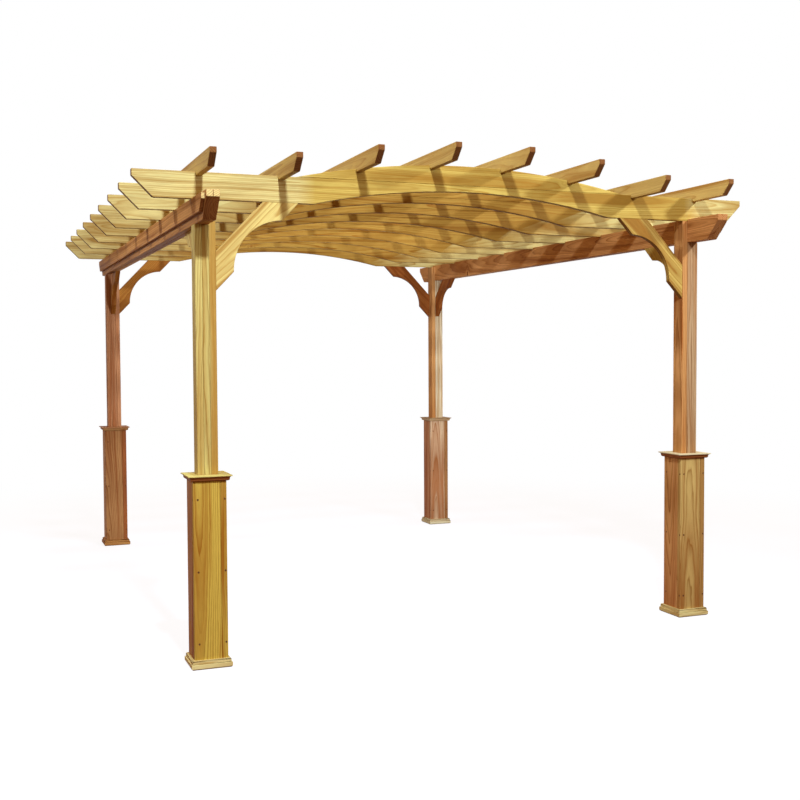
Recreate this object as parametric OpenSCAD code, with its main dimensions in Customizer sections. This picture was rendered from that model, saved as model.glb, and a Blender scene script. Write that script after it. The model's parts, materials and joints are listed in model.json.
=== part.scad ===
// Arched timber pergola: four laminated posts in boxed bases carry two double beams,
// and the beams carry arched rafters with purlins let into their tops.
// X runs along the rafters, Y along the beams and purlins, and Z is up.
// The origin is on the ground, midway between the four posts.

/* [Frame] */
// Spacing of the posts along the rafters, centre to centre
post_span_x = 2990; // [2600:2:3400]
// Spacing of the posts along the beams, centre to centre
post_span_y = 4011; // [3000:1:4600]
// Height of the underside of the beams
beam_base_z = 2310; // [2100:5:2500]

/* [Timber] */
// Thickness of the planed boards and of each ply of a post
board_t = 36; // [34:0.5:42]
// Depth of the wide boards: beams, rafters and braces
wide_board = 140; // [130:1:160]
// Depth of the narrow boards: purlins and ledgers
narrow_board = 89; // [75:1:100]
// Depth of the post boards, along the beams
post_d = 92; // [80:1:98]
// Open line between boards that are laid up side by side
seam = 0.4; // [0.3:0.1:0.8]
// Side clearance of a board in its notch
notch_fit = 0.5; // [0.3:0.1:1]

/* [Beams] */
// Thickness of each of a beam's two boards
beam_board_t = 34.5; // [32:0.5:36]
// Length of a beam beyond the centre of the post
beam_overhang = 345; // [250:1:450]
// Height of the upright nose at a beam's end
beam_nose = 35; // [25:1:50]
// Thickness of the ledger on the outer face of a beam
ledger_t = 20; // [15:1:25]
// Distance from a beam's end to the ledger's end
ledger_setback = 34; // [10:1:60]
// Height of the upright nose at a ledger's end
ledger_nose = 30; // [20:1:45]

/* [Rafters] */
// Number of rafters
rafter_count = 9; // [7:1:11]
// Length of a rafter beyond the centre of the post
rafter_overhang = 370; // [300:1:450]
// Height of the upright nose at a rafter's end
rafter_nose = 34; // [25:1:50]
// Depth of the seat that is cut in a rafter over the beam
seat_depth = 12; // [8:1:20]
// Width of the arch that is cut in the lower edge
arch_span = 1820; // [1500:10:2000]
// Height of the arch that is cut in the lower edge
arch_rise = 105; // [80:1:112]
// Width of the curved crown that is glued on the upper edge
crown_span = 2010; // [1700:10:2100]
// Height of the curved crown that is glued on the upper edge
crown_rise = 110; // [90:1:130]

/* [Purlins] */
// Number of purlins
purlin_count = 8; // [6:2:8]
// Spacing of the purlins, centre to centre
purlin_pitch = 435; // [400:1:460]
// Length of a purlin beyond the centre of the post
purlin_overhang = 409; // [340:1:500]
// Height of the upright nose at a purlin's end
purlin_nose = 28; // [20:1:40]
// Depth to which a purlin is let into the rafters
purlin_lap = 20; // [12:1:30]

/* [Knee braces] */
// Reach of a rafter brace along the rafter
rafter_brace_run = 446; // [400:1:500]
// Reach of a rafter brace down the post
rafter_brace_drop = 470; // [400:1:520]
// Straight part of a rafter brace's lower edge at each end, measured along its leg
rafter_brace_toe = 95; // [80:1:110]
// Reach of a beam brace along the beam
beam_brace_run = 390; // [340:1:440]
// Reach of a beam brace down the post
beam_brace_drop = 340; // [320:1:440]
// Straight part of a beam brace's lower edge at each end, measured along its leg
beam_brace_toe = 84; // [70:1:100]

/* [Bases] */
// Height of the top of the base cap
base_h = 1010; // [800:5:1200]
// Thickness of the sleeve boards
sleeve_t = 33; // [25:0.5:38]
// Clearance between the post and its sleeve and cap
sleeve_fit = 0.5; // [0.3:0.1:1]
// Height of the cap
cap_h = 29; // [28:0.5:34]
// Overhang of the cap beyond the sleeve
cap_overhang = 27; // [23:0.5:32]
// Height of the upright lip of the cap
cap_lip = 5; // [4:0.5:6]
// Radius of the hollow under the cap's lip
cap_cove = 12; // [8:0.5:12]
// Radius of the round at the cap's lower edge
cap_round = 10; // [5:0.5:10]
// Height of the base moulding
moulding_h = 48; // [44:1:60]
// Thickness of the base moulding at the floor
moulding_t = 19; // [17:0.5:22]
// Height of the flat foot of the base moulding
moulding_foot = 26; // [18:1:27]
// Radius of the hollow half way up the base moulding
moulding_cove = 6; // [4:0.5:8]
// Radius of the round at the top of the base moulding
moulding_round = 8; // [6:0.5:9]
// Clearance between the base moulding and the sleeve
trim_fit = 0.3; // [0.2:0.1:0.6]

/* [Hidden] */
// Flats on a small round, on the hollow of a brace and on the long arcs of the rafters
$fn = 48;
brace_arc = 96;
long_arc = 720;
// Spare length that carries a cutting shape past a face
past = 10;

post_w = 3 * board_t + 2 * seam;
post_inner_x = post_span_x / 2 - post_w / 2;
post_outer_y = post_span_y / 2 + post_d / 2;
post_inner_y = post_span_y / 2 - post_d / 2;
beam_t = 2 * beam_board_t + seam;
beam_x = post_inner_x + board_t + seam + beam_t / 2;
rafter_z = beam_base_z + wide_board - seat_depth;
rafter_pitch = (2 * post_outer_y - board_t) / (rafter_count - 1);
arch_radius = arc_radius(arch_span / 2, arch_rise);
crown_radius = arc_radius(crown_span / 2, crown_rise);
sleeve_inner = post_w / 2 + sleeve_fit;
sleeve_outer = sleeve_inner + sleeve_t;
sleeve_h = base_h - cap_h;
packing_y = (post_d / 2 + sleeve_inner) / 2;
packing_t = sleeve_inner - post_d / 2 - 2 * seam;

corners = [
    ["front_left", -1, -1],
    ["front_right", 1, -1],
    ["back_left", -1, 1],
    ["back_right", 1, 1]
];
sides = [["left", -1], ["right", 1]];

// Radius of an arc from its half chord and its height
function arc_radius(half, rise) = (half * half + rise * rise) / (2 * rise);

// Height of the crown above the board's upper edge at a distance x from its middle
function crown_height(x) = abs(x) < crown_span / 2
    ? seam + sqrt(crown_radius * crown_radius - x * x) - crown_radius + crown_rise
    : 0;

// Height of a rafter's upper edge above its lower edge
function rafter_top(x) = wide_board + crown_height(x);

function rafter_y(i) = (i - 1) * rafter_pitch - post_outer_y + board_t / 2;
function purlin_x(i) = (i - (purlin_count + 1) / 2) * purlin_pitch;

// Outline of a board on edge, with its lower corners cut away at 45 degrees under a short nose
module board_outline(length, depth, nose) {
    cut = depth - nose;
    polygon([
        [-length / 2, depth],
        [length / 2, depth],
        [length / 2, cut],
        [length / 2 - cut, 0],
        [cut - length / 2, 0],
        [-length / 2, cut]
    ]);
}

// Flat outline stood up along X, one board thick
module along_x() {
    rotate([90, 0, 0])
        linear_extrude(board_t, center = true)
            children();
}

// Flat outline stood up along Y
module along_y(thickness) {
    rotate([90, 0, 90])
        linear_extrude(thickness, center = true)
            children();
}

// Part of a disc above its chord, with the chord centred on the origin
module segment(radius, rise) {
    intersection() {
        translate([0, rise - radius])
            circle(radius, $fn = long_arc);
        translate([-radius, 0])
            square([2 * radius, rise + past]);
    }
}

// Notches in a rafter's upper edge, one for each purlin
module purlin_notches() {
    notch_w = board_t + 2 * notch_fit;
    for (i = [1 : purlin_count])
        translate([purlin_x(i) - notch_w / 2, rafter_top(purlin_x(i)) - purlin_lap])
            square([notch_w, purlin_lap + past]);
}

// Seats in a rafter's lower edge, one over each beam
module beam_seats() {
    seat_w = beam_t + 2 * notch_fit;
    for (s = [-1, 1])
        translate([s * beam_x - seat_w / 2, -past])
            square([seat_w, seat_depth + past]);
}

// Post of three plies: the two outer ones stop under the beam, the inner one meets the rafter
module post(sx, sy) {
    color("goldenrod")
        for (ply = [-1 : 1])
            translate([
                sx * post_span_x / 2 + ply * (board_t + seam) - board_t / 2,
                sy * post_span_y / 2 - post_d / 2,
                0
            ])
                cube([board_t, post_d, ply == -sx ? rafter_z : beam_base_z]);
}

// Four boards set round the post, each lapping the edge of the next,
// and a packing strip in front of the post and behind it
module sleeve(sx, sy) {
    color("darkgoldenrod")
        translate([sx * post_span_x / 2, sy * post_span_y / 2, 0]) {
            for (turn = [0 : 90 : 270])
                rotate([0, 0, turn])
                    translate([-sleeve_outer, -sleeve_outer, 0])
                        cube([sleeve_outer + sleeve_inner - seam, sleeve_t, sleeve_h]);
            for (s = [-1, 1])
                translate([-post_w / 2, s * packing_y - packing_t / 2, 0])
                    cube([post_w, packing_t, base_h]);
        }
}

// What is cut from a corner to leave a round, with the round's centre at the origin
module corner_waste(radius) {
    difference() {
        square(radius + past);
        circle(radius);
    }
}

// Outline of the cap: a lip, a hollow below it and a rounded lower edge
module cap_outline() {
    reach = sleeve_outer + cap_overhang - sleeve_inner;
    neck_w = reach - cap_cove;
    neck_h = cap_h - cap_lip - cap_cove;
    translate([sleeve_inner, 0]) {
        difference() {
            square([neck_w, cap_h]);
            translate([neck_w - cap_round, cap_round])
                mirror([0, 1])
                    corner_waste(cap_round);
        }
        translate([0, neck_h])
            difference() {
                square([reach, cap_cove + cap_lip]);
                translate([reach, 0])
                    circle(cap_cove);
            }
    }
}

// Outline of the base moulding: a flat foot, a hollow above it and a rounded top
module moulding_outline() {
    upper_w = moulding_t - moulding_cove;
    translate([sleeve_outer + trim_fit, 0]) {
        difference() {
            square([upper_w, moulding_h]);
            translate([upper_w - moulding_round, moulding_h - moulding_round])
                corner_waste(moulding_round);
        }
        difference() {
            square([moulding_t, moulding_foot + moulding_cove]);
            translate([moulding_t, moulding_foot + moulding_cove])
                circle(moulding_cove);
        }
    }
}

// Four mitred lengths of a moulding round a post, from the moulding's outline
module mitred_frame(sx, sy, reach, height) {
    mitre = seam / sqrt(2);
    tip = reach + past;
    translate([sx * post_span_x / 2, sy * post_span_y / 2, 0])
        for (turn = [0 : 90 : 270])
            rotate([0, 0, turn])
                intersection() {
                    along_y(2 * tip)
                        children();
                    translate([0, 0, -past])
                        linear_extrude(height + 2 * past)
                            polygon([[0, mitre], [tip, tip + mitre], [-tip, tip + mitre]]);
                }
}

module base_cap(sx, sy) {
    color("khaki")
        translate([0, 0, sleeve_h])
            mitred_frame(sx, sy, sleeve_outer + cap_overhang, cap_h)
                cap_outline();
}

module base_moulding(sx, sy) {
    color("khaki")
        mitred_frame(sx, sy, sleeve_outer + trim_fit + moulding_t, moulding_h)
            moulding_outline();
}

// Beam of two boards on the outer plies of the posts
module beam(side) {
    color("peru")
        for (ply = [-0.5, 0.5])
            translate([side * beam_x + ply * (beam_board_t + seam), 0, beam_base_z])
                along_y(beam_board_t)
                    board_outline(post_span_y + 2 * beam_overhang, wide_board, beam_nose);
}

// Narrow board on the outer face of a beam, under the rafters
module ledger(side) {
    length = post_span_y + 2 * beam_overhang - 2 * ledger_setback;
    color("sienna")
        translate([side * (beam_x + beam_t / 2 + ledger_t / 2), 0, rafter_z - narrow_board])
            along_y(ledger_t)
                board_outline(length, narrow_board, ledger_nose);
}

// Sloping brace from an inner corner at the origin, hollowed to a round below
module knee_brace(run, drop, toe) {
    inner = 1 - wide_board * norm([run, drop]) / (run * drop);
    hollow = (run + drop) / 2 - toe;
    along_x()
        difference() {
            polygon([[inner * run, 0], [run, 0], [0, -drop], [0, -inner * drop]]);
            translate([hollow, -hollow])
                circle(hollow - toe, $fn = brace_arc);
        }
}

// Brace from a post to the end rafter, flush with the outer face of the post
module rafter_brace(sx, sy) {
    color("tan")
        translate([sx * post_inner_x, sy * (post_outer_y - board_t / 2), rafter_z])
            rotate([0, 0, sx > 0 ? 180 : 0])
                knee_brace(rafter_brace_run, rafter_brace_drop, rafter_brace_toe);
}

// Brace from the middle ply of a post to the beam
module beam_brace(sx, sy) {
    color("tan")
        translate([sx * post_span_x / 2, sy * post_inner_y, beam_base_z])
            rotate([0, 0, sy > 0 ? -90 : 90])
                knee_brace(beam_brace_run, beam_brace_drop, beam_brace_toe);
}

// Board with an arch cut from its lower edge, and a curved crown on its upper edge
module rafter(i) {
    color("palegoldenrod")
        translate([0, rafter_y(i), rafter_z])
            along_x() {
                difference() {
                    board_outline(post_span_x + 2 * rafter_overhang, wide_board, rafter_nose);
                    translate([0, arch_rise - arch_radius])
                        circle(arch_radius, $fn = long_arc);
                    beam_seats();
                    purlin_notches();
                }
                difference() {
                    translate([0, wide_board + seam])
                        segment(crown_radius, crown_rise);
                    purlin_notches();
                }
            }
}

// Board on edge across all the rafters, let into their tops
module purlin(i) {
    color("burlywood")
        translate([purlin_x(i), 0, rafter_z + rafter_top(purlin_x(i)) - purlin_lap])
            along_y(board_t)
                board_outline(post_span_y + 2 * purlin_overhang, narrow_board, purlin_nose);
}

for (c = corners) {
    post(c[1], c[2]);
    sleeve(c[1], c[2]);
    base_cap(c[1], c[2]);
    base_moulding(c[1], c[2]);
    rafter_brace(c[1], c[2]);
    beam_brace(c[1], c[2]);
}
for (s = sides) {
    beam(s[1]);
    ledger(s[1]);
}
for (i = [1 : rafter_count])
    rafter(i);
for (i = [1 : purlin_count])
    purlin(i);
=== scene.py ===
import bpy
import bmesh
import json
import math
import random
from mathutils import Matrix, Vector

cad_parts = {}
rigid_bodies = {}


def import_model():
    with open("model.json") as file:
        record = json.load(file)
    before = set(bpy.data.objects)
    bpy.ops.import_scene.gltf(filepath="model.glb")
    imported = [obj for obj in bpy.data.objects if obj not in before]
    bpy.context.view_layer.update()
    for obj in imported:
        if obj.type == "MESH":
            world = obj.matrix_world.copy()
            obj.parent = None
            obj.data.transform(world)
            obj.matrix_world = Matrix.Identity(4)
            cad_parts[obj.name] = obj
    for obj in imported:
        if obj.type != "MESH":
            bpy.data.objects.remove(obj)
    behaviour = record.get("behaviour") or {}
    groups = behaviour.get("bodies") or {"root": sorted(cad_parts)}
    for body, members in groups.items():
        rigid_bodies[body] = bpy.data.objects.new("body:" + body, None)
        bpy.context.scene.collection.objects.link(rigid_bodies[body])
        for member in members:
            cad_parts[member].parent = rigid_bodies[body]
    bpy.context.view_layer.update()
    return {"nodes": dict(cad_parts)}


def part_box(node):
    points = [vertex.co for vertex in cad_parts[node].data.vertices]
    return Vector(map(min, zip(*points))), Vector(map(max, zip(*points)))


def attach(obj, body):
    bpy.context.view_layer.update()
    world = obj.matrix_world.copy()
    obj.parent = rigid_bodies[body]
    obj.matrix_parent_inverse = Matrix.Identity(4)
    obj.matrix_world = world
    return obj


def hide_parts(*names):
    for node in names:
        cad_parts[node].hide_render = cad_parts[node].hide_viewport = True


for leftover in list(bpy.data.objects):  # the start-up cube, lamp and camera
    bpy.data.objects.remove(leftover)

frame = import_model()
mm = 0.001
mathNode = "ShaderNodeMath"
noiseLow, noiseHigh = 0.3, 0.7  # most of a noise texture lies between these


# sRGB hex to the linear colour that nodes take
def hexColor(code):
    channels = [int(code[i:i + 2], 16) / 255 for i in (0, 2, 4)]
    return tuple(c / 12.92 if c < 0.04045 else ((c + 0.055) / 1.055) ** 2.4 for c in channels) + (1.0,)


# adds one node: links go in for sockets, plain values for the rest,
# and stops fill a colour ramp, where a plain number is a grey
def addNode(tree, kind, inputs=None, stops=None, **settings):
    node = tree.nodes.new(kind)
    for name, value in settings.items():
        setattr(node, name, value)
    for key, value in (inputs or {}).items():
        if isinstance(value, bpy.types.NodeSocket):
            tree.links.new(value, node.inputs[key])
        else:
            node.inputs[key].default_value = value
    if stops:
        ramp = node.color_ramp
        while len(ramp.elements) < len(stops):
            ramp.elements.new(1.0)
        for element, (place, color) in zip(ramp.elements, stops):
            element.position = place
            element.color = color if isinstance(color, tuple) else (color, color, color, 1.0)
    return node


def newMaterial(name):
    material = bpy.data.materials.new(name)
    material.use_nodes = True
    material.node_tree.nodes.clear()
    return material


# Planed southern yellow pine: pale early wood and hard orange late wood in each ring,
# so flat-sawn faces show flame figure, edges show straight lines and ends show arcs.
# Lengths are mm. Rings of this pine are 3 to 6 mm; they are drawn wider so that they show.
pineGrain = {
    "ringWidth": 9.5,
    "lateWood": ((0.0, 0.25), (0.12, 0.0), (0.5, 0.08), (0.82, 0.55), (0.95, 1.0), (1.0, 0.6)),  # in a ring
    "faintRing": 0.4,  # late wood of the faintest ring against the boldest
    "wanderAlong": 800, "wanderAcross": 120, "wanderBy": 34,
    "rippleAlong": 130, "rippleAcross": 24, "rippleBy": 6,
    "streakAlong": 1400, "streakAcross": 30, "streakFrom": 0.46, "streakTo": 0.68, "streakShare": 0.85,
    "fibreAlong": 60, "fibreAcross": 3.2,  # real fibre is under 1 mm
    "fibreDark": 0.9, "fibrePale": 1.06,
    "knotSpacing": 420, "knotRadius": 12, "knotPull": 60, "knotBulge": 14, "knotColor": "7a4218",
    "knotTurn": 70,  # how far from the pith the way round it is measured
    "knotShare": ((0.0, 0.7), (0.38, 0.75), (0.46, 1.0), (0.6, 0.25), (1.0, 0.0)),  # from its middle outwards
    "endFrom": 0.75, "endTo": 0.95, "endShare": 0.9, "endRings": 0.75,
    # painted shade: a tint for the slanting cuts, which face down, set by how far an end faces along the
    # board
    "paintedShade": "cec2bc", "paintedShadeFrom": (0.6, 0.68), "paintedShadeTo": (0.76, 0.86),  # how far an end faces along the board
    "earlyRoughness": 0.62, "lateRoughness": 0.46, "ior": 1.5, "specular": 0.06,
    "bumpHeight": 0.35, "bumpStrength": 0.4,
}
# early wood, late wood, heart streak and cut end of each kind of timber; the dark cut ends of rafters and
# purlins, whose slanting cuts face down, are partly the end grain's tone and partly painted shade
pineTones = {
    "laminated_post": ("f6e8d6", "ac8258", "c89664", "d8b880"),
    "base_boards": ("f8ead8", "a87a4e", "b47444", "d8b880"),
    "base_trim": ("f8f0da", "ccac7c", "c0986c", "d8b880"),
    "beam_boards": ("f6e4c8", "b08456", "a4784c", "e8d898"),
    "brace_boards": ("f2e2b4", "bc9054", "b08048", "a87848"),
    "rafter_boards": ("f0e2a8", "c49a54", "b48a48", "6a3820"),
    "purlin_boards": ("f6e6c8", "d4b088", "c49a6a", "7a4a28"),
}


# the way to the nearest knot, mm: knots are branches that leave the pith
# at one place along the trunk and one angle round it
def pineKnots(tree, along, own):
    g = pineGrain
    angle = addNode(tree, mathNode, {0: along.outputs[1], 1: along.outputs[2]}, operation="ARCTAN2")
    arc = addNode(tree, mathNode, {0: angle.outputs[0], 1: g["knotTurn"] / g["knotSpacing"]},
                  operation="MULTIPLY")
    climb = addNode(tree, mathNode, {0: along.outputs[0], 1: 1 / (g["knotSpacing"] * mm)},
                    operation="MULTIPLY")
    place = addNode(tree, "ShaderNodeCombineXYZ",
                    {0: climb.outputs[0], 1: arc.outputs[0], 2: own.outputs[2]})
    cells = addNode(tree, "ShaderNodeTexVoronoi", {"Vector": place.outputs[0], "Scale": 1.0},
                    voronoi_dimensions="3D", feature="F1")
    reach = addNode(tree, mathNode, {0: cells.outputs["Distance"], 1: g["knotSpacing"]},
                    operation="MULTIPLY")
    return reach.outputs[0]


# the distance from the pith, and the share of late wood there
def pineRings(tree, grain, own, knotReach):
    g = pineGrain
    # a grown trunk wanders slowly, with a finer ripple, and bulges round its knots
    flat = addNode(tree, "ShaderNodeVectorMath", {0: grain, 1: (0.0, 1.0, 1.0)}, operation="MULTIPLY")
    radius = addNode(tree, "ShaderNodeVectorMath", {0: flat.outputs[0]}, operation="LENGTH").outputs["Value"]
    for name in ("wander", "ripple"):
        scale = [1 / (g[name + "Along"] * mm)] + [1 / (g[name + "Across"] * mm)] * 2
        spread = addNode(tree, "ShaderNodeMapping", {"Vector": grain, "Scale": scale})
        noise = addNode(tree, "ShaderNodeTexNoise",
                        {"Vector": spread.outputs[0], "Scale": 1.0, "Detail": 2.0})
        shift = addNode(tree, mathNode, {0: noise.outputs["Fac"], 1: -0.5}, operation="ADD")
        radius = addNode(tree, mathNode, {0: shift.outputs[0], 1: g[name + "By"] * mm, 2: radius},
                         operation="MULTIPLY_ADD").outputs[0]
    bulge = addNode(tree, "ShaderNodeMapRange",
                    {"Value": knotReach, "From Min": g["knotRadius"] / 2, "From Max": g["knotPull"],
                     "To Min": g["knotBulge"] * mm, "To Max": 0.0}, interpolation_type="SMOOTHERSTEP")
    radius = addNode(tree, mathNode, {0: radius, 1: bulge.outputs[0]}, operation="ADD").outputs[0]

    # each ring darkens slowly to its late wood and then ends sharply; some rings are bolder than others
    width = addNode(tree, mathNode, {0: own.outputs[1], 1: g["ringWidth"] * mm}, operation="MULTIPLY")
    ring = addNode(tree, mathNode, {0: radius, 1: width.outputs[0]}, operation="DIVIDE")
    phase = addNode(tree, mathNode, {0: ring.outputs[0]}, operation="FRACT")
    year = addNode(tree, mathNode, {0: ring.outputs[0]}, operation="FLOOR")
    lot = addNode(tree, "ShaderNodeTexWhiteNoise", {"W": year.outputs[0]}, noise_dimensions="1D")
    boldness = addNode(tree, "ShaderNodeMapRange",
                       {"Value": lot.outputs["Value"], "To Min": g["faintRing"], "To Max": 1.0})
    lateWood = addNode(tree, "ShaderNodeValToRGB", {"Fac": phase.outputs[0]}, stops=g["lateWood"])
    share = addNode(tree, mathNode, {0: lateWood.outputs["Color"], 1: boldness.outputs[0]},
                    operation="MULTIPLY")
    return radius, share.outputs[0]


def makePine(slot):
    early, late, heart, cutEnd = (hexColor(code) for code in pineTones[slot])
    g = pineGrain
    material = newMaterial("planed yellow pine " + slot.replace("_", " "))
    tree = material.node_tree
    grain = addNode(tree, "ShaderNodeAttribute", attribute_name="grain").outputs["Vector"]
    board = addNode(tree, "ShaderNodeAttribute", attribute_name="board").outputs["Vector"]
    stainAndShade = addNode(tree, "ShaderNodeAttribute", attribute_name="stainAndShade").outputs["Color"]
    cut = addNode(tree, "ShaderNodeAttribute", attribute_name="endGrain").outputs["Fac"]
    along = addNode(tree, "ShaderNodeSeparateXYZ", {0: grain})
    own = addNode(tree, "ShaderNodeSeparateXYZ", {0: board})
    knotReach = pineKnots(tree, along, own)
    radius, lateShare = pineRings(tree, grain, own, knotReach)

    # heart streaks follow the rings, fibres run along the board
    streakAlong = addNode(tree, mathNode, {0: along.outputs[0], 1: 1 / (g["streakAlong"] * mm)},
                          operation="MULTIPLY")
    streakAcross = addNode(tree, mathNode, {0: radius, 1: 1 / (g["streakAcross"] * mm)},
                           operation="MULTIPLY")
    streakPlace = addNode(tree, "ShaderNodeCombineXYZ",
                          {0: streakAlong.outputs[0], 1: streakAcross.outputs[0], 2: own.outputs[2]})
    streak = addNode(tree, "ShaderNodeTexNoise",
                     {"Vector": streakPlace.outputs[0], "Scale": 1.0, "Detail": 2.0})
    streakShare = addNode(tree, "ShaderNodeMapRange",
                          {"Value": streak.outputs["Fac"], "From Min": g["streakFrom"],
                           "From Max": g["streakTo"], "To Max": g["streakShare"]})
    fibreScale = [1 / (g["fibreAlong"] * mm)] + [1 / (g["fibreAcross"] * mm)] * 2
    fibrePlace = addNode(tree, "ShaderNodeMapping", {"Vector": grain, "Scale": fibreScale})
    fibre = addNode(tree, "ShaderNodeTexNoise",
                    {"Vector": fibrePlace.outputs[0], "Scale": 1.0, "Detail": 3.0}).outputs["Fac"]
    fibreShade = addNode(tree, "ShaderNodeMapRange",
                         {"Value": fibre, "From Min": noiseLow, "From Max": noiseHigh,
                          "To Min": g["fibreDark"], "To Max": g["fibrePale"]})

    # colour, from early wood to late wood, streaks, the board's own tone, its stain, which in places is
    # painted shade, and knots
    color = addNode(tree, "ShaderNodeMix", {"Factor": lateShare, "A": early, "B": late}, data_type="RGBA")
    color = addNode(tree, "ShaderNodeMix",
                    {"Factor": streakShare.outputs[0], "A": color.outputs["Result"], "B": heart},
                    data_type="RGBA")
    shade = addNode(tree, mathNode, {0: fibreShade.outputs[0], 1: own.outputs[0]}, operation="MULTIPLY")
    color = addNode(tree, "ShaderNodeVectorMath", {0: color.outputs["Result"], "Scale": shade.outputs[0]},
                    operation="SCALE")
    color = addNode(tree, "ShaderNodeMix", {"Factor": 1.0, "A": color.outputs[0], "B": stainAndShade},
                    data_type="RGBA", blend_type="MULTIPLY")
    knotWay = addNode(tree, mathNode, {0: knotReach, 1: 1 / (2 * g["knotRadius"])}, operation="MULTIPLY")
    knotShare = addNode(tree, "ShaderNodeValToRGB", {"Fac": knotWay.outputs[0]}, stops=g["knotShare"])
    color = addNode(tree, "ShaderNodeMix",
                    {"Factor": knotShare.outputs["Color"], "A": color.outputs["Result"],
                     "B": hexColor(g["knotColor"])}, data_type="RGBA")

    # slanting cuts, which face down, take painted shade and go dark; square ones stay unshaded and show their
    # rings
    paintedShade = hexColor(g["paintedShade"])
    starts, full = g["paintedShadeFrom"]
    fades, unshaded = g["paintedShadeTo"]
    paintedShadeTint = addNode(tree, "ShaderNodeValToRGB", {"Fac": cut},
                       stops=((0.0, 1.0), (starts, 1.0), (full, paintedShade), (fades, paintedShade), (unshaded, 1.0)))
    color = addNode(tree, "ShaderNodeMix",
                    {"Factor": 1.0, "A": color.outputs["Result"], "B": paintedShadeTint.outputs["Color"]},
                    data_type="RGBA", blend_type="MULTIPLY")
    endRings = addNode(tree, mathNode, {0: lateShare, 1: -g["endRings"], 2: 1.0}, operation="MULTIPLY_ADD")
    endColor = addNode(tree, "ShaderNodeVectorMath", {0: cutEnd[:3], "Scale": endRings.outputs[0]},
                       operation="SCALE")
    endShare = addNode(tree, "ShaderNodeMapRange",
                       {"Value": cut, "From Min": g["endFrom"], "From Max": g["endTo"],
                        "To Max": g["endShare"]}, interpolation_type="SMOOTHSTEP")
    color = addNode(tree, "ShaderNodeMix",
                    {"Factor": endShare.outputs[0], "A": color.outputs["Result"], "B": endColor.outputs[0]},
                    data_type="RGBA")

    # late wood is harder: it stands a little proud of the early wood and shines more
    rough = addNode(tree, "ShaderNodeMapRange",
                    {"Value": lateShare, "To Min": g["earlyRoughness"], "To Max": g["lateRoughness"]})
    relief = addNode(tree, mathNode, {0: lateShare, 1: fibre}, operation="ADD")
    bump = addNode(tree, "ShaderNodeBump", {"Height": relief.outputs[0], "Strength": g["bumpStrength"],
                                            "Distance": g["bumpHeight"] * mm})
    surface = addNode(tree, "ShaderNodeBsdfPrincipled",
                      {"Base Color": color.outputs["Result"], "Roughness": rough.outputs[0],
                       "Normal": bump.outputs[0], "IOR": g["ior"], "Specular IOR Level": g["specular"]})
    addNode(tree, "ShaderNodeOutputMaterial", {"Surface": surface.outputs[0]})
    return material


# Bronze-coated steel deck screws, dulled: dark warm heads with a darker recess; the blotches are mm
screwFinish = {"blotch": 3, "dark": "4a2a18", "pale": "74482c", "metallic": 0.8, "roughness": (0.35, 0.6)}


def makeScrewSteel():
    finish = screwFinish
    smooth, dull = finish["roughness"]
    material = newMaterial("dulled bronze-coated steel")
    tree = material.node_tree
    place = addNode(tree, "ShaderNodeTexCoord").outputs["Object"]
    blotch = addNode(tree, "ShaderNodeTexNoise",
                     {"Vector": place, "Scale": 1 / (finish["blotch"] * mm), "Detail": 2.0}).outputs["Fac"]
    color = addNode(tree, "ShaderNodeValToRGB", {"Fac": blotch},
                    stops=((noiseLow, hexColor(finish["dark"])), (noiseHigh, hexColor(finish["pale"]))))
    rough = addNode(tree, "ShaderNodeMapRange", {"Value": blotch, "To Min": smooth, "To Max": dull})
    surface = addNode(tree, "ShaderNodeBsdfPrincipled",
                      {"Base Color": color.outputs["Color"], "Metallic": finish["metallic"],
                       "Roughness": rough.outputs[0]})
    addNode(tree, "ShaderNodeOutputMaterial", {"Surface": surface.outputs[0]})
    return material


pine = {slot: makePine(slot) for slot in pineTones}
screwSteel = makeScrewSteel()
print("materials made:", len(pine) + 1)

# Screws that hold the sleeve boards, two columns and three rows on each face, mm
sleeveScrews = {
    "headRadius": 5.0, "headDepth": 3.5, "sunkBy": 1.2, "drive": 2.8, "corners": 16, "taper": 0.45,
    "columns": 2, "columnGap": 141, "columnMiddle": 7.5, "rows": 3, "rowGap": 377, "rowMiddle": 508,
    "sinkRadius": 6.6, "sinkDepth": 4.5, "seed": 5,
}


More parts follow.
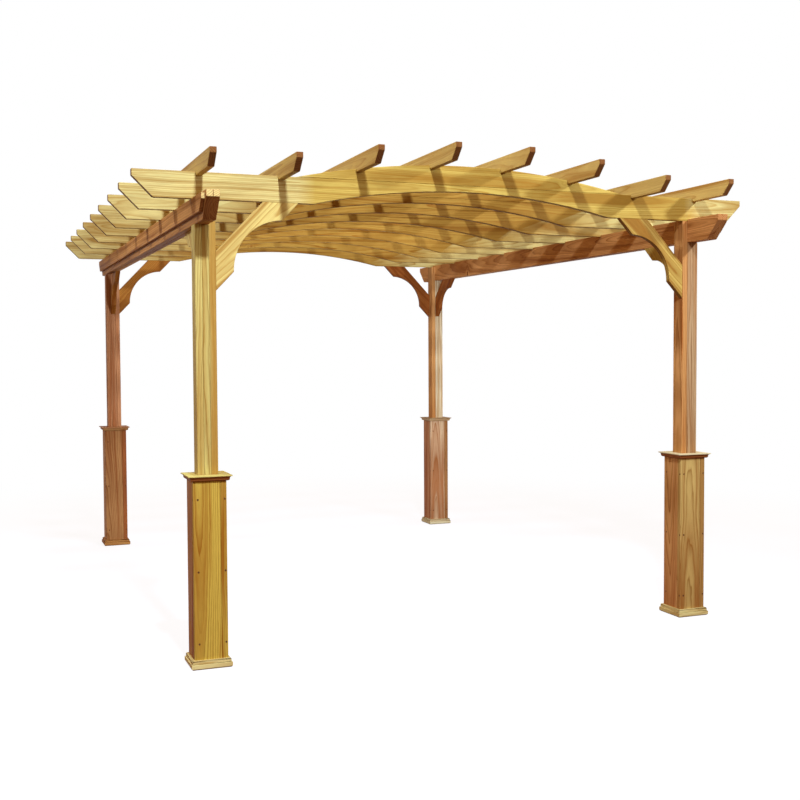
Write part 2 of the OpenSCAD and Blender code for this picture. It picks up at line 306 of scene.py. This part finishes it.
# one tree makes the screw heads, and with a wider cone and no drive the sinks that they sit in
def makeScrewTree():
    s = sleeveScrews
    tree = bpy.data.node_groups.new("sleeveScrewRows", "GeometryNodeTree")
    tree.interface.new_socket("Geometry", in_out="INPUT", socket_type="NodeSocketGeometry")
    for name in ("Radius", "Depth", "Sunk By", "Drive", "Face Distance", "Column Gap", "Column Middle",
                 "Row Gap", "Row Middle"):
        tree.interface.new_socket(name, in_out="INPUT", socket_type="NodeSocketFloat")
    tree.interface.new_socket("Post Centre", in_out="INPUT", socket_type="NodeSocketVector")
    tree.interface.new_socket("Seed", in_out="INPUT", socket_type="NodeSocketInt")
    tree.interface.new_socket("Material", in_out="INPUT", socket_type="NodeSocketMaterial")
    tree.interface.new_socket("Geometry", in_out="OUTPUT", socket_type="NodeSocketGeometry")
    given = addNode(tree, "NodeGroupInput").outputs

    # a countersunk head with a square drive, its top at the origin and facing up
    point = addNode(tree, mathNode, {0: given["Radius"], 1: s["taper"]}, operation="MULTIPLY")
    cone = addNode(tree, "GeometryNodeMeshCone",
                   {"Vertices": s["corners"], "Radius Top": given["Radius"],
                    "Radius Bottom": point.outputs[0], "Depth": given["Depth"]})
    lower = addNode(tree, mathNode, {0: given["Depth"], 1: -1.0}, operation="MULTIPLY")
    down = addNode(tree, "ShaderNodeCombineXYZ", {2: lower.outputs[0]})
    head = addNode(tree, "GeometryNodeTransform",
                   {"Geometry": cone.outputs["Mesh"], "Translation": down.outputs[0]})
    driveSize = addNode(tree, "ShaderNodeCombineXYZ",
                        {0: given["Drive"], 1: given["Drive"], 2: given["Depth"]})
    drive = addNode(tree, "GeometryNodeMeshCube", {"Size": driveSize.outputs[0]})
    screw = addNode(tree, "GeometryNodeMeshBoolean",
                    {"Mesh 1": head.outputs[0], "Mesh 2": drive.outputs["Mesh"]}, operation="DIFFERENCE")

    # one face of the sleeve: a grid of points, stood up and moved out to the face
    tall = addNode(tree, mathNode, {0: given["Row Gap"], 1: s["rows"] - 1}, operation="MULTIPLY")
    wide = addNode(tree, mathNode, {0: given["Column Gap"], 1: s["columns"] - 1}, operation="MULTIPLY")
    rows = addNode(tree, "GeometryNodeMeshGrid",
                   {"Size X": wide.outputs[0], "Size Y": tall.outputs[0],
                    "Vertices X": s["columns"], "Vertices Y": s["rows"]})
    inset = addNode(tree, mathNode, {0: given["Sunk By"], 1: given["Face Distance"]}, operation="SUBTRACT")
    outTo = addNode(tree, "ShaderNodeCombineXYZ",
                    {0: given["Column Middle"], 1: inset.outputs[0], 2: given["Row Middle"]})
    spin = addNode(tree, "FunctionNodeRandomValue", {2: 0.0, 3: math.pi, "Seed": given["Seed"]},
                   data_type="FLOAT")
    spun = addNode(tree, "ShaderNodeCombineXYZ", {2: spin.outputs[1]})
    onRows = addNode(tree, "GeometryNodeInstanceOnPoints",
                     {"Points": rows.outputs["Mesh"], "Instance": screw.outputs["Mesh"],
                      "Rotation": spun.outputs[0]})
    face = addNode(tree, "GeometryNodeTransform",
                   {"Geometry": onRows.outputs[0], "Translation": outTo.outputs[0],
                    "Rotation": (math.pi / 2, 0.0, 0.0)})

    # the same face turned to the four sides of the post
    sides = addNode(tree, "GeometryNodeMeshLine", {"Count": 4, "Offset": (0.0, 0.0, 0.0)})
    number = addNode(tree, "GeometryNodeInputIndex").outputs[0]
    turn = addNode(tree, mathNode, {0: number, 1: math.pi / 2}, operation="MULTIPLY")
    turned = addNode(tree, "ShaderNodeCombineXYZ", {2: turn.outputs[0]})
    allSides = addNode(tree, "GeometryNodeInstanceOnPoints",
                       {"Points": sides.outputs["Mesh"], "Instance": face.outputs[0],
                        "Rotation": turned.outputs[0]})
    atPost = addNode(tree, "GeometryNodeTransform",
                     {"Geometry": allSides.outputs[0], "Translation": given["Post Centre"]})
    real = addNode(tree, "GeometryNodeRealizeInstances", {0: atPost.outputs[0]})
    dressed = addNode(tree, "GeometryNodeSetMaterial",
                      {"Geometry": real.outputs[0], "Material": given["Material"]})
    addNode(tree, "NodeGroupOutput", {0: dressed.outputs[0]})
    return tree


screwTree = makeScrewTree()


# the object's mesh with its modifiers, as a plain mesh; the old object goes
def plainMesh(obj):
    graph = bpy.context.evaluated_depsgraph_get()
    mesh = bpy.data.meshes.new_from_object(obj.evaluated_get(graph))
    bpy.data.objects.remove(obj)
    return mesh


def newObject(name, data):
    obj = bpy.data.objects.new(name, data)
    bpy.context.scene.collection.objects.link(obj)
    return obj


def screwMesh(name, centre, faceDistance, sizes):
    obj = newObject(name, bpy.data.meshes.new(name))
    rows = obj.modifiers.new("screwRows", "NODES")
    rows.node_group = screwTree
    s = sleeveScrews
    values = {"Column Gap": s["columnGap"] * mm, "Column Middle": s["columnMiddle"] * mm,
              "Row Gap": s["rowGap"] * mm, "Row Middle": s["rowMiddle"] * mm, "Seed": s["seed"],
              "Post Centre": centre, "Face Distance": faceDistance, "Material": screwSteel}
    values.update({key: value * mm for key, value in sizes.items()})
    for item in screwTree.interface.items_tree:
        if item.in_out == "INPUT" and item.name in values:
            rows[item.identifier] = values[item.name]
    return plainMesh(obj)


# Boards: how far their edges are eased and where their pith lies, off the thin side and along the wide one
# (mm), how wide their rings are against the plain timber, how much end grain an end shows (splay) and which
# timber they are; a splay over 1 gives slanting cuts the cut-end tone, partly painted shade. Caps take
# painted shade in the cove from a depth (mm) under their top, mouldings are only chamfered at the foot (mm),
# rafters are paler past their tails (m) over a blend, their darker middle partly painted shade, and nose
# gives square ends the same darker tint as the slanting cuts.
plainBoard = {"eased": 3.0, "depth": (25, 70), "side": (-30, 30), "rings": 1.0, "splay": 1.0}
braceBoard = dict(plainBoard, slot="brace_boards", splay=0.0)
beamBoard = dict(plainBoard, slot="beam_boards", depth=(20, 60), side=(-40, 40))
rafterBoard = dict(plainBoard, slot="rafter_boards", depth=(25, 80), side=(-45, 45), splay=1.35)
boardKinds = {
    "_rafter_brace": braceBoard,
    "_beam_brace": braceBoard,
    "_base_cap": dict(plainBoard, slot="base_trim", eased=0.6, depth=(60, 120), cove=8),
    "_base_moulding": dict(plainBoard, slot="base_trim", foot=7.0, depth=(60, 120)),
    "_sleeve": dict(plainBoard, slot="base_boards", eased=3.2, depth=(50, 90), side=(-40, 40)),
    "_post": dict(plainBoard, slot="laminated_post", eased=2.2, depth=(30, 80), side=(-40, 40), rings=1.2),
    "right_beam": dict(beamBoard, nose=0.7),
    "_beam": beamBoard,
    "_ledger": dict(plainBoard, slot="beam_boards", eased=2.5, depth=(2, 8), side=(150, 170), rings=1.5),
    "rafter_1": dict(rafterBoard, tails=(-1.0, 1.55), blend=0.1),
    "rafter_": dict(rafterBoard, tails=(-1.4, 1.4), blend=0.6),
    "purlin_": dict(plainBoard, slot="purlin_boards", splay=1.35),
}
# stains that tint the pine, from hardly any to dark; some of them serve as painted shade on the boards below
stainAndShadeColors = {
    "clear": "ecf8ec", "ivory": "f0fad0", "chalk": "e0dccc", "straw": "dce4a0", "hay": "dcd8a0",
    "wheat": "d4cc90", "lemon": "d4cc68", "peach": "ecc898", "honey": "d4b07c", "driftwood": "c4b8a0",
    "rose": "c49e80", "amber": "bca46c", "chestnut": "bc9054", "tan": "b09068", "umber": "a47048",
}
# stain of the boards by place, partly painted shade: plies of a post from left to right, the right posts'
# darker left ply partly painted shade; boards of a base front, right, back and left, the side boards partly
# painted shade; a cap's top and cove, the cove's colour painted shade; a rafter's middle, left and right
# tails, the inner rafters' darker middle painted shade under the roof, the first rafter's paler tails partly
# painted light;
# the left beam and ledger's stain, darker than the right beam's, is partly painted shade
stainAndShadeByPlace = {
    "front_left_post": ("straw", "straw", "straw"),
    "front_right_post": ("honey", "driftwood", "driftwood"),
    "back_left_post": ("rose", "rose", "rose"),
    "back_right_post": ("honey", "clear", "clear"),
    "front_left_sleeve": ("lemon", "lemon", "lemon", "chestnut"),
    "front_right_sleeve": ("wheat", "amber", "wheat", "honey"),
    "back_left_sleeve": ("tan", "umber", "tan", "honey"),
    "back_right_sleeve": ("chalk", "tan", "chalk", "rose"),
    "front_left_base_cap": ("straw", "umber"),
    "front_right_base_cap": ("clear", "umber"),
    "back_left_base_cap": ("rose", "tan"),
    "back_right_base_cap": ("driftwood", "chalk"),
    "front_left_base_moulding": ("ivory",),
    "front_right_base_moulding": ("ivory",),
    "back_left_base_moulding": ("honey",),
    "back_right_base_moulding": ("clear",),
    "front_left_": ("ivory",),
    "front_right_": ("wheat",),
    "back_left_": ("chestnut",),
    "back_right_": ("umber",),
    "left_": ("honey",),
    "right_": ("peach",),
    "rafter_1": ("hay", "clear", "clear"),
    "rafter_": ("amber", "clear", "clear"),
    "purlin_": ("wheat",),
}
# how boards differ: lean is the pith's slope along the board, start and lot pick a place in the trunk
boardSpread = {"lightness": (0.93, 1.05), "lean": 0.045, "start": 40, "lot": 60, "seed": 21}
dice = random.Random(boardSpread["seed"])
# degrees up to which faces count as one flat, from which an edge is eased and from which it shades sharp,
# the merging distance (mm), a notch's share of the easing and the steps of an eased edge
planing = {"flat": 0.05, "cut": 30, "sharp": 40, "merge": 0.01, "notchEase": 0.2, "easedSteps": 3}


def kindOf(node):
    return next(kind for key, kind in boardKinds.items() if node.endswith(key) or node.startswith(key))


# the CAD mesh comes as loose triangles: a copy is merged, its flat faces are joined
# and the edges that a planer rounds are marked
def easedBoards(node, kind):
    mesh = frame["nodes"][node].data.copy()
    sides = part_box(node)
    cutAngle = math.radians(planing["cut"])
    work = bmesh.new()
    work.from_mesh(mesh)
    bmesh.ops.remove_doubles(work, verts=work.verts, dist=planing["merge"] * mm)
    bmesh.ops.dissolve_limit(work, angle_limit=math.radians(planing["flat"]),
                             verts=work.verts, edges=work.edges)
    weight = work.edges.layers.float.new("bevel_weight_edge")
    sawn = {f for e in work.edges if e.calc_face_angle_signed() < -cutAngle for f in e.link_faces}
    for e in work.edges:
        if e.calc_face_angle_signed() > cutAngle:
            # notches stay nearly sharp
            e[weight] = planing["notchEase"] if sawn.intersection(e.link_faces) else 1.0
            if "foot" in kind:  # only the outer edge on the floor
                outer = any(all(abs(v.co[i] - side[i]) < mm for v in e.verts)
                            for side in sides for i in (0, 1))
                e[weight] = 1.0 if outer and max(v.co.z for v in e.verts) < mm else 0.0
    for f in work.faces:
        f.smooth = True
    work.to_mesh(mesh)
    work.free()
    mesh.materials.clear()
    obj = newObject(node + "_boards", mesh)
    easing = obj.modifiers.new("easedEdges", "BEVEL")
    easing.width = kind.get("foot", kind["eased"]) * mm
    easing.segments = 1 if "foot" in kind else planing["easedSteps"]
    easing.limit_method = "WEIGHT"
    return obj


# the separate boards of a piece, as lists of vertex numbers
def boardsOf(mesh):
    work = bmesh.new()
    work.from_mesh(mesh)
    seen, boards = set(), []
    for start in work.verts:
        if start.index in seen:
            continue
        seen.add(start.index)
        front, board = [start], []
        while front:
            v = front.pop()
            board.append(v.index)
            for e in v.link_edges:
                other = e.other_vert(v)
                if other.index not in seen:
                    seen.add(other.index)
                    front.append(other)
        boards.append(board)
    work.free()
    return boards


axes = [Vector((1, 0, 0)), Vector((0, 1, 0)), Vector((0, 0, 1))]
slopes = [(axes[i] + s * axes[j]).normalized() for i, j in ((0, 1), (0, 2), (1, 2)) for s in (1, -1)]
squareEnd = 0.8  # how far along the board a square end faces
atRightAngles = 0.01
middlePly = 10 * mm  # how far off the post's middle its middle ply may lie


# grain runs along the longest way through a board, and the pith lies off its thin side
def grainFrame(points):
    def reach(direction):
        along = [p.dot(direction) for p in points]
        return max(along) - min(along)

    length = max(axes + slopes, key=reach)
    across = [d for d in axes + slopes if abs(d.dot(length)) < atRightAngles]
    thin = min(across, key=reach)
    return length, length.cross(thin), thin


# which of its piece's stains a board takes, from where it lies in the piece; a post's left ply and a sleeve's
# side boards take the ones that partly hold painted shade
def stainAndShadeNumber(node, offset):
    if node.endswith("_post"):
        return 1 if abs(offset.x) < middlePly else 0 if offset.x < 0 else 2
    if node.endswith("_sleeve"):
        facing = ((-offset.y, 0), (offset.x, 1), (offset.y, 2), (-offset.x, 3))
        return max(facing)[1]
    return 0


# extra corners where a rafter's stain and painted shade change, which a long flat face has none of
def markTails(mesh, tails, blend):
    work = bmesh.new()
    work.from_mesh(mesh)
    for x in (tails[0], tails[0] + blend, tails[1] - blend, tails[1]):
        bmesh.ops.bisect_plane(work, geom=work.verts[:] + work.edges[:] + work.faces[:],
                               dist=planing["merge"] * mm, plane_co=(x, 0.0, 0.0), plane_no=(1.0, 0.0, 0.0))
    work.to_mesh(mesh)
    work.free()


# gives each board its own grain, tone, stain, painted shade and end-grain values, which the pine reads
def growGrain(mesh, node, kind):
    if "tails" in kind:
        markTails(mesh, kind["tails"], kind["blend"])
    for name, valueKind, domain in (("grain", "FLOAT_VECTOR", "POINT"), ("board", "FLOAT_VECTOR", "POINT"),
                                    ("stainAndShade", "FLOAT_COLOR", "POINT"), ("endGrain", "FLOAT", "FACE")):
        mesh.attributes.new(name, valueKind, domain)
    grain, tone, stainAndShade, ends = (mesh.attributes[name] for name in ("grain", "board", "stainAndShade", "endGrain"))
    names = next(names for key, names in stainAndShadeByPlace.items() if node.startswith(key))
    stainsAndShades = [hexColor(stainAndShadeColors[name]) for name in names]
    low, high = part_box(node)
    centre = (low + high) / 2
    lengthOf = {}
    for board in boardsOf(mesh):
        points = [mesh.vertices[i].co for i in board]
        middle = sum(points, Vector()) / len(points)
        length, wide, thin = grainFrame(points)
        depth = dice.uniform(*kind["depth"]) * mm * dice.choice((-1, 1))
        side = dice.uniform(*kind["side"]) * mm
        lean = dice.uniform(-1, 1) * boardSpread["lean"]
        start = dice.uniform(0, boardSpread["start"])
        own = (dice.uniform(*boardSpread["lightness"]), kind["rings"], dice.uniform(0, boardSpread["lot"]))
        plain = stainsAndShades[stainAndShadeNumber(node, middle - centre)]
        for i in board:
            place = mesh.vertices[i].co
            p = place - middle
            u = p.dot(length)
            grain.data[i].vector = (u + start, p.dot(wide) + side, p.dot(thin) + depth + lean * u)
            tone.data[i].vector = own
            stainAndShade.data[i].color = plain
            # the cove takes its own colour, which is painted shade
            if "cove" in kind and place.z < high.z - kind["cove"] * mm:
                stainAndShade.data[i].color = stainsAndShades[1]
            # tails out from under the roof take paler stains; the darker middle is painted shade under the
            # roof, on the first rafter partly its own tone
            if "tails" in kind:
                left, right = kind["tails"]
                half = kind["blend"] / 2
                if place.x < left + half or place.x > right - half:
                    stainAndShade.data[i].color = stainsAndShades[1 if place.x < 0 else 2]
            lengthOf[i] = length
    for f in mesh.polygons:
        facing = abs(f.normal.dot(lengthOf[f.vertices[0]]))
        # a square nose takes the same darker tint as the slanting cuts
        squareNose = "nose" in kind and facing > squareEnd
        ends.data[f.index].value = kind["nose"] if squareNose else facing * kind["splay"]


def finishPiece(name, mesh, nodes, material):
    mesh.set_sharp_from_angle(angle=math.radians(planing["sharp"]))
    obj = newObject(name, mesh)
    flat = obj.modifiers.new("flatFaces", "WEIGHTED_NORMAL")
    flat.keep_sharp = True
    mesh = plainMesh(obj)
    mesh.materials.clear()
    mesh.materials.append(material)
    piece = newObject(name, mesh)
    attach(piece, "root")
    if nodes:
        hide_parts(*nodes)


# sinks cut into a sleeve's boards, and the screws in them as a piece of their own
def screwedSleeve(node, boards):
    low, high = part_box(node)
    centre = Vector(((low.x + high.x) / 2, (low.y + high.y) / 2, 0.0))
    faceDistance = (high.x - low.x) / 2
    s = sleeveScrews
    sinks = screwMesh(node + "_sinks", centre, faceDistance,
                      {"Radius": s["sinkRadius"], "Depth": s["sinkDepth"], "Sunk By": 0.0, "Drive": 0.0})
    cutter = newObject(node + "_cutter", sinks)
    sink = boards.modifiers.new("screwSinks", "BOOLEAN")
    sink.object = cutter
    sink.solver = "EXACT"
    mesh = plainMesh(boards)
    bpy.data.objects.remove(cutter)
    heads = screwMesh(node + "_screws", centre, faceDistance,
                      {"Radius": s["headRadius"], "Depth": s["headDepth"], "Sunk By": s["sunkBy"],
                       "Drive": s["drive"]})
    finishPiece(node + "_screws", heads, [], screwSteel)
    return mesh


for node in sorted(frame["nodes"]):
    kind = kindOf(node)
    boards = easedBoards(node, kind)
    mesh = screwedSleeve(node, boards) if node.endswith("_sleeve") else plainMesh(boards)
    growGrain(mesh, node, kind)
    finishPiece(node + "_timber", mesh, [node], pine[kind["slot"]])
print("boards dressed:", len(frame["nodes"]))


# 1 where the camera sees the floor or the surround, by itself or in something shiny or clear
def seenByCamera(tree):
    rays = addNode(tree, "ShaderNodeLightPath").outputs
    seen = rays["Is Camera Ray"]
    for name in ("Is Glossy Ray", "Is Transmission Ray"):
        seen = addNode(tree, mathNode, {0: seen, 1: rays[name]}, operation="MAXIMUM").outputs[0]
    return seen


# Floor: white to the eye with the object's soft shadow, fading to plain white far off (m),
# and a dull warm bounce, as under the real one
floorLook = {"half": 30.0, "glow": 0.88, "paint": "747c94", "bounce": "6a4438",
             "fadeFrom": 3.0, "fadeTo": 7.0}


def makeFloor():
    material = newMaterial("matt white studio floor")
    tree = material.node_tree
    paint = addNode(tree, "ShaderNodeBsdfDiffuse", {"Color": hexColor(floorLook["paint"])})
    glow = addNode(tree, "ShaderNodeEmission", {"Color": hexColor("ffffff"), "Strength": floorLook["glow"]})
    near = addNode(tree, "ShaderNodeAddShader", {0: paint.outputs[0], 1: glow.outputs[0]})
    far = addNode(tree, "ShaderNodeEmission", {"Color": hexColor("ffffff"), "Strength": 1.0})
    place = addNode(tree, "ShaderNodeTexCoord").outputs["Object"]
    reach = addNode(tree, "ShaderNodeVectorMath", {0: place}, operation="LENGTH")
    fade = addNode(tree, "ShaderNodeMapRange",
                   {"Value": reach.outputs["Value"], "From Min": floorLook["fadeFrom"],
                    "From Max": floorLook["fadeTo"]}, interpolation_type="SMOOTHSTEP")
    white = addNode(tree, "ShaderNodeMixShader", {0: fade.outputs[0], 1: near.outputs[0], 2: far.outputs[0]})
    bounce = addNode(tree, "ShaderNodeBsdfDiffuse", {"Color": hexColor(floorLook["bounce"])})
    both = addNode(tree, "ShaderNodeMixShader",
                   {0: seenByCamera(tree), 1: bounce.outputs[0], 2: white.outputs[0]})
    addNode(tree, "ShaderNodeOutputMaterial", {"Surface": both.outputs[0]})
    half = floorLook["half"]
    mesh = bpy.data.meshes.new("studioFloor")
    corners = [(-half, -half, 0), (half, -half, 0), (half, half, 0), (-half, half, 0)]
    mesh.from_pydata(corners, [], [(0, 1, 2, 3)])
    mesh.materials.append(material)
    newObject("studioFloor", mesh)


# Lamps, all white: a small key high over the camera, one at the right that throws the slanting purlin
# shadows, a narrow one at the left for the purlins' sides and one under the roof for the back posts;
# spread is in degrees
lamps = {
    "keyLamp": {"at": (-1.4, -7.0, 6.6), "aim": (-1.5, -1.8, 1.3), "watts": 146, "size": 0.55, "spread": 100},
    "rightLamp": {"at": (3.4, -6.0, 4.2), "aim": (1.2, -1.9, 2.4), "watts": 25, "size": 0.4, "spread": 70},
    "leftLamp": {"at": (-7.6, 0.6, 5.8), "aim": (-0.5, -0.8, 3.2), "watts": 28, "size": 0.4, "spread": 50},
    "innerLamp": {"at": (0.0, -1.8, 1.2), "aim": (0.0, 2.0, 1.2), "watts": 32, "size": 0.8, "spread": 90},
}
surround = {"color": "ffc690", "strength": 0.60}  # warm, as the shade under the real one is


def makeLight():
    for name, lamp in lamps.items():
        light = bpy.data.lights.new(name, "AREA")
        light.shape = "DISK"
        light.size = lamp["size"]
        light.energy = lamp["watts"]
        light.spread = math.radians(lamp["spread"])
        obj = newObject(name, light)
        obj.location = lamp["at"]
        obj.rotation_euler = (Vector(lamp["aim"]) - Vector(lamp["at"])).to_track_quat("-Z", "Y").to_euler()
    world = bpy.data.worlds.new("studio")
    bpy.context.scene.world = world
    world.use_nodes = True
    tree = world.node_tree
    tree.nodes.clear()
    soft = addNode(tree, "ShaderNodeBackground",
                   {"Color": hexColor(surround["color"]), "Strength": surround["strength"]})
    white = addNode(tree, "ShaderNodeBackground", {"Color": hexColor("ffffff"), "Strength": 1.0})
    both = addNode(tree, "ShaderNodeMixShader",
                   {0: seenByCamera(tree), 1: soft.outputs[0], 2: white.outputs[0]})
    addNode(tree, "ShaderNodeOutputWorld", {"Surface": both.outputs[0]})


# Camera where the photo was taken from: turns are degrees, the shift is the photo's own framing
shot = {"at": (-2.644, -7.865, 1.657), "yaw": 21.631, "pitch": -2.460, "roll": -0.248,
        "lens": 50.44, "sensor": 36.0, "shift": (-0.0171, -0.0027), "far": 200.0}


def makeCamera():
    yaw, pitch, roll = (math.radians(shot[key]) for key in ("yaw", "pitch", "roll"))
    forward = Vector((math.sin(yaw) * math.cos(pitch), math.cos(yaw) * math.cos(pitch), math.sin(pitch)))
    right = Vector((math.cos(yaw), -math.sin(yaw), 0.0))
    up = right.cross(forward)
    across = math.cos(roll) * right + math.sin(roll) * up
    upright = math.cos(roll) * up - math.sin(roll) * right
    turned = Matrix((across, upright, -forward)).transposed().to_4x4()
    data = bpy.data.cameras.new("photoCamera")
    data.lens = shot["lens"]
    data.sensor_width = shot["sensor"]
    data.shift_x, data.shift_y = shot["shift"]
    data.clip_end = shot["far"]
    camera = newObject("photoCamera", data)
    camera.matrix_world = Matrix.Translation(shot["at"]) @ turned
    bpy.context.scene.camera = camera


makeFloor()
makeLight()
makeCamera()
bpy.context.scene.view_settings.view_transform = "Standard"
print("floor, lamps and camera set")
